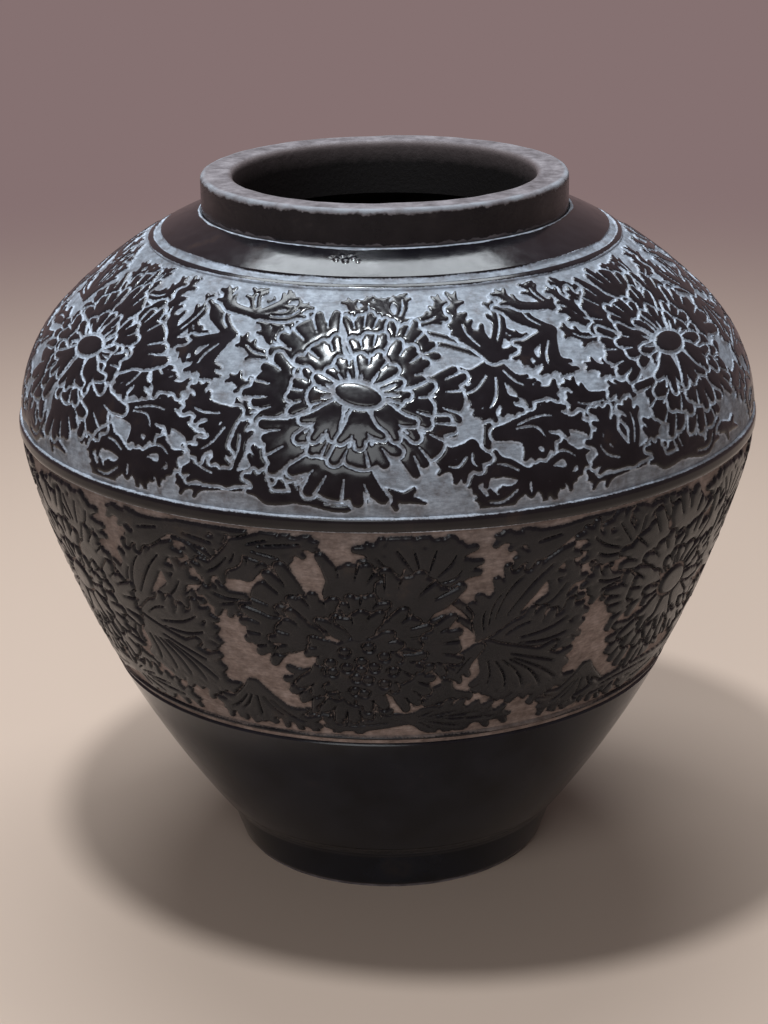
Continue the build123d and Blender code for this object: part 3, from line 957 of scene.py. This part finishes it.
# A cut line under a thin fillet, with glaze left on the fillet's crest alone
low_fillet_edges = (LOW_LINE_TOP + 0.2, 4, 0.3), (LOW_FILLET - 0.2, 4, 0.3)
up, turns = ring_grid(LOW_LINE, LOW_FILLET)
height = bead(up, LOW_LINE_TOP, LOW_FILLET, 1.0, 0.8) - COAT
low_fillet = ring_piece("low_fillet", up, turns, height, *low_fillet_edges)
dress(low_fillet, ("low_fillet_ring", "lower_body"), lower_material)

# The foot and the neck, each a closed outline turned round the axis
TURNED_COLUMNS = 512


def turned_piece(name, outline, sharp, uneven=None):
    """A closed outline of (radius, height) turned round the jar's axis."""
    outline = np.asarray(outline, float)
    count = len(outline)
    angle = np.linspace(0, 2 * math.pi, TURNED_COLUMNS, endpoint=False)
    flat = outline[:, None, :] + np.zeros((1, TURNED_COLUMNS, 1))
    if uneven is not None:
        flat = flat + uneven(outline[:, None, :], np.degrees(angle)[None, :])
    points = spun(flat, angle[None, :]).reshape(-1, 3)
    here = np.arange(TURNED_COLUMNS)
    after = (here + 1) % TURNED_COLUMNS
    row = np.arange(count)[:, None] * TURNED_COLUMNS
    quads = grid_quads(row, np.roll(row, -1, 0), here, after)
    steps = np.linalg.norm(np.roll(outline, -1, 0) - outline, axis=1)
    line = np.concatenate([[0], np.cumsum(steps)]) / steps.sum()
    return mesh_object(name, points, quads, (), grid_uv(here, TURNED_COLUMNS, line), sharp)


def steps_between(start, end, step):
    """Points from one to another, the last left out."""
    start, end = np.asarray(start, float), np.asarray(end, float)
    count = max(1, int(round(np.linalg.norm(end - start) / step)))
    return [start + (end - start) * k / count for k in range(count)]


def rounded_corner(before, corner, after, radius, count=5):
    """The corner of an outline rounded off, as points."""
    corner = np.asarray(corner, float)
    first = np.asarray(before, float) - corner
    last = np.asarray(after, float) - corner
    start = corner + first / np.linalg.norm(first) * radius
    end = corner + last / np.linalg.norm(last) * radius
    share = np.linspace(0, 1, count)[:, None]
    return list((1 - share) ** 2 * start + 2 * share * (1 - share) * corner + share ** 2 * end)


def foot_outline():
    """The plain coat below the lower scroll, over the heel and the foot, with the wall's back."""
    outside = list(under(np.linspace(LOW_LINE, HEEL_PLACE, 120), 0))
    outside[0] = under(LOW_LINE, COAT)
    heel, foot_top = under(HEEL_PLACE, 0), (FOOT_TOP_RADIUS, FOOT_HEIGHT)
    outside += rounded_corner(outside[-2], heel, foot_top, 2.5)
    outside += rounded_corner(heel, foot_top, (FOOT_BASE_RADIUS, 0), 1.5)
    lean = (FOOT_TOP_RADIUS - FOOT_BASE_RADIUS) / FOOT_HEIGHT
    edge = FOOT_BASE_RADIUS + lean * BARE_FOOT
    outside += steps_between((FOOT_TOP_RADIUS - 0.8, FOOT_HEIGHT - 1.7), (edge, BARE_FOOT + 0.6), 1.5)
    outside += [(edge, BARE_FOOT + 0.6), (edge - 0.5, BARE_FOOT), (edge - COAT, BARE_FOOT)]
    back = [(FOOT_TOP_RADIUS - COAT, FOOT_HEIGHT), (FLOOR_RADIUS, FOOT_HEIGHT), (FLOOR_RADIUS, FLOOR_TOP)]
    back += list(under(np.linspace(HEEL_PLACE, LOW_LINE, 24), WALL_DEPTH))
    return (outside + back)[::-1]


def neck_outline():
    """The neck's glazed outside, its flat rim with round edges, and its throat."""
    side = NECK_RADIUS - COAT
    line = steps_between((side, COLLAR_BASE), (side, BODY_HEIGHT - 1), 1.5)
    line += [(side, BODY_HEIGHT - 0.6), (NECK_RADIUS - 0.5, BODY_HEIGHT - 0.4)]
    line += steps_between((NECK_RADIUS, BODY_HEIGHT + 0.2), (NECK_RADIUS, JAR_HEIGHT - 2.6), 1.0)
    line += [(NECK_RADIUS - 0.1, JAR_HEIGHT - 2.5)]
    outer, inner = (NECK_RADIUS - 0.1, JAR_HEIGHT), (MOUTH_RADIUS, JAR_HEIGHT)
    line += rounded_corner((NECK_RADIUS, JAR_HEIGHT - 20), outer, inner, 2.4, 7)
    line += steps_between((NECK_RADIUS - 3.0, JAR_HEIGHT), (MOUTH_RADIUS + 4.0, JAR_HEIGHT), 1.0)
    line += rounded_corner((NECK_RADIUS, JAR_HEIGHT), inner, (MOUTH_RADIUS, COLLAR_BASE), 3.6, 8)
    line += steps_between((MOUTH_RADIUS, JAR_HEIGHT - 4.2), (MOUTH_RADIUS, COLLAR_BASE), 1.2)
    return line + [(MOUTH_RADIUS, COLLAR_BASE)]


def rim_unevenness(outline, turns):
    """Thumb-worn dips in the rim and slight ripples of the hand, always inwards and down."""
    high = np.clip((outline[..., 1] - (JAR_HEIGHT - 6)) / 6, 0, 1)
    dip = (1 + waver(turns, 6, 0.45)) * 0.28 * high
    out = (1 + waver(turns, 8, 0.5)) * 0.22 * np.clip((outline[..., 0] - (NECK_RADIUS - 10)) / 8, 0, 1)
    return np.stack(np.broadcast_arrays(-out, -np.maximum(dip, 0)), -1)


foot_coat = turned_piece("foot_coat", foot_outline(), 35)
dress(foot_coat, ("lower_glaze", "lower_body"), foot_material)

neck = turned_piece("neck", neck_outline(), 40, rim_unevenness)
dress(neck, ("neck_collar", "neck_glaze"), neck_material())

# The nodes of the CAD part that keep their own meshes
kept_nodes = {"inside_glaze": inside_material, "base_floor": clay_material, "foot_ring": clay_material}
for node_name, material in kept_nodes.items():
    own_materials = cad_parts[node_name].data.materials
    own_materials.clear()
    own_materials.append(material)

# The floor, the light and the camera
FLOOR_SIZE = 14.0
FLOOR_COLOUR = (0.60, 0.46, 0.37)
FADE_START, FADE_END = 0.45, 1.7
BACKGROUND = (0.235, 0.165, 0.165)


def seen_directly(tree):
    """One for the rays that show the background to the camera, to gloss and through glass."""
    path = new_node(tree, "LightPath").outputs
    either = maths(tree, "MAXIMUM", path["Is Camera Ray"], path["Is Glossy Ray"])
    return maths(tree, "MAXIMUM", either, path["Is Transmission Ray"])


def blended_shaders(tree, share, first, second):
    """A shader between those of two nodes."""
    node = new_node(tree, "MixShader")
    for socket, value in zip(node.inputs, (share, first.outputs[0], second.outputs[0])):
        tree.links.new(value, socket)
    return node.outputs[0]


def floor_plane():
    """A plain floor that isn't part of the object and runs into the background far from it."""
    half = FLOOR_SIZE / 2
    corners = [(-half, -half, 0), (half, -half, 0), (half, half, 0), (-half, half, 0)]
    mesh = bpy.data.meshes.new("floor")
    mesh.from_pydata(corners, [], [(0, 1, 2, 3)])
    plane = bpy.data.objects.new("floor", mesh)
    bpy.context.scene.collection.objects.link(plane)
    material, tree, shader = node_tree("floor")
    feed(tree, shader, Base_Color=FLOOR_COLOUR, Roughness=0.65)
    away = vector_length(tree, new_node(tree, "TexCoord").outputs["Object"])
    far = new_node(tree, "MapRange", Value=away, From_Min=FADE_START, From_Max=FADE_END)
    far.interpolation_type = "SMOOTHSTEP"
    fade = maths(tree, "MULTIPLY", far.outputs["Result"], seen_directly(tree))
    glow = new_node(tree, "Emission", Color=BACKGROUND)
    surface = blended_shaders(tree, fade, shader, glow)
    feed(tree, tree.nodes["Material Output"], Surface=surface)
    plane.data.materials.append(material)


floor_plane()

# Each lamp as (name, place, size, power, colour), all aimed at the jar's middle
COOL_LIGHT, PALE_LIGHT = (0.88, 0.95, 1.0), (0.92, 0.97, 1.0)
LAMPS = (
    ("lamp_above", (-0.21, -0.27, 1.76), 0.18, 17, COOL_LIGHT),
    ("lamp_left", (-0.40, 0.60, 1.76), 0.72, 11, COOL_LIGHT),
    ("lamp_right", (0.27, 0.58, 1.76), 0.72, 10, COOL_LIGHT),
    ("lamp_front", (-0.6, -2.4, 1.9), 1.6, 20, PALE_LIGHT),
)
AIM = Vector((0, 0, 0.2))
ROOM_COLOUR, ROOM_STRENGTH = (0.42, 0.41, 0.42), 0.25


def area_lamp(name, place, size, power, colour):
    """A round lamp that faces the jar."""
    lamp = bpy.data.lights.new(name, "AREA")
    lamp.shape = "DISK"
    lamp.size = size
    lamp.energy = power
    lamp.color = colour
    thing = bpy.data.objects.new(name, lamp)
    thing.location = place
    thing.rotation_euler = (AIM - Vector(place)).to_track_quat("-Z", "Y").to_euler()
    bpy.context.scene.collection.objects.link(thing)


def plain_room():
    """A dim, even light all round, and the background's colour where it is seen."""
    world = bpy.data.worlds.new("plain_room")
    bpy.context.scene.world = world
    world.use_nodes = True
    tree = world.node_tree
    tree.nodes.clear()
    room = new_node(tree, "Background", Color=ROOM_COLOUR, Strength=ROOM_STRENGTH)
    seen = new_node(tree, "Background", Color=BACKGROUND)
    surface = blended_shaders(tree, seen_directly(tree), room, seen)
    new_node(tree, "OutputWorld", Surface=surface)


for lamp_values in LAMPS:
    area_lamp(*lamp_values)
plain_room()

LENS, SENSOR_WIDTH = 84.375, 36.0
CAMERA_PLACE = Vector((0, -1.1572, 0.5868))
CAMERA_DROP = math.radians(19.662)
CAMERA_LEFT = math.radians(0.119)
CAMERA_ROLL = math.radians(0.75)


def photograph_camera():
    """A camera where the photograph's was."""
    data = bpy.data.cameras.new("camera")
    data.lens = LENS
    data.sensor_width = SENSOR_WIDTH
    camera = bpy.data.objects.new("camera", data)
    pan = Matrix.Rotation(CAMERA_LEFT, 4, "Z")
    tilt = Matrix.Rotation(math.pi / 2 - CAMERA_DROP, 4, "X")
    roll = Matrix.Rotation(-CAMERA_ROLL, 4, "Z")
    camera.matrix_world = Matrix.Translation(CAMERA_PLACE) @ pan @ tilt @ roll
    bpy.context.scene.collection.objects.link(camera)
    return camera


bpy.context.scene.camera = photograph_camera()
bpy.context.scene.view_settings.view_transform = "Standard"

bpy.context.view_layer.update()
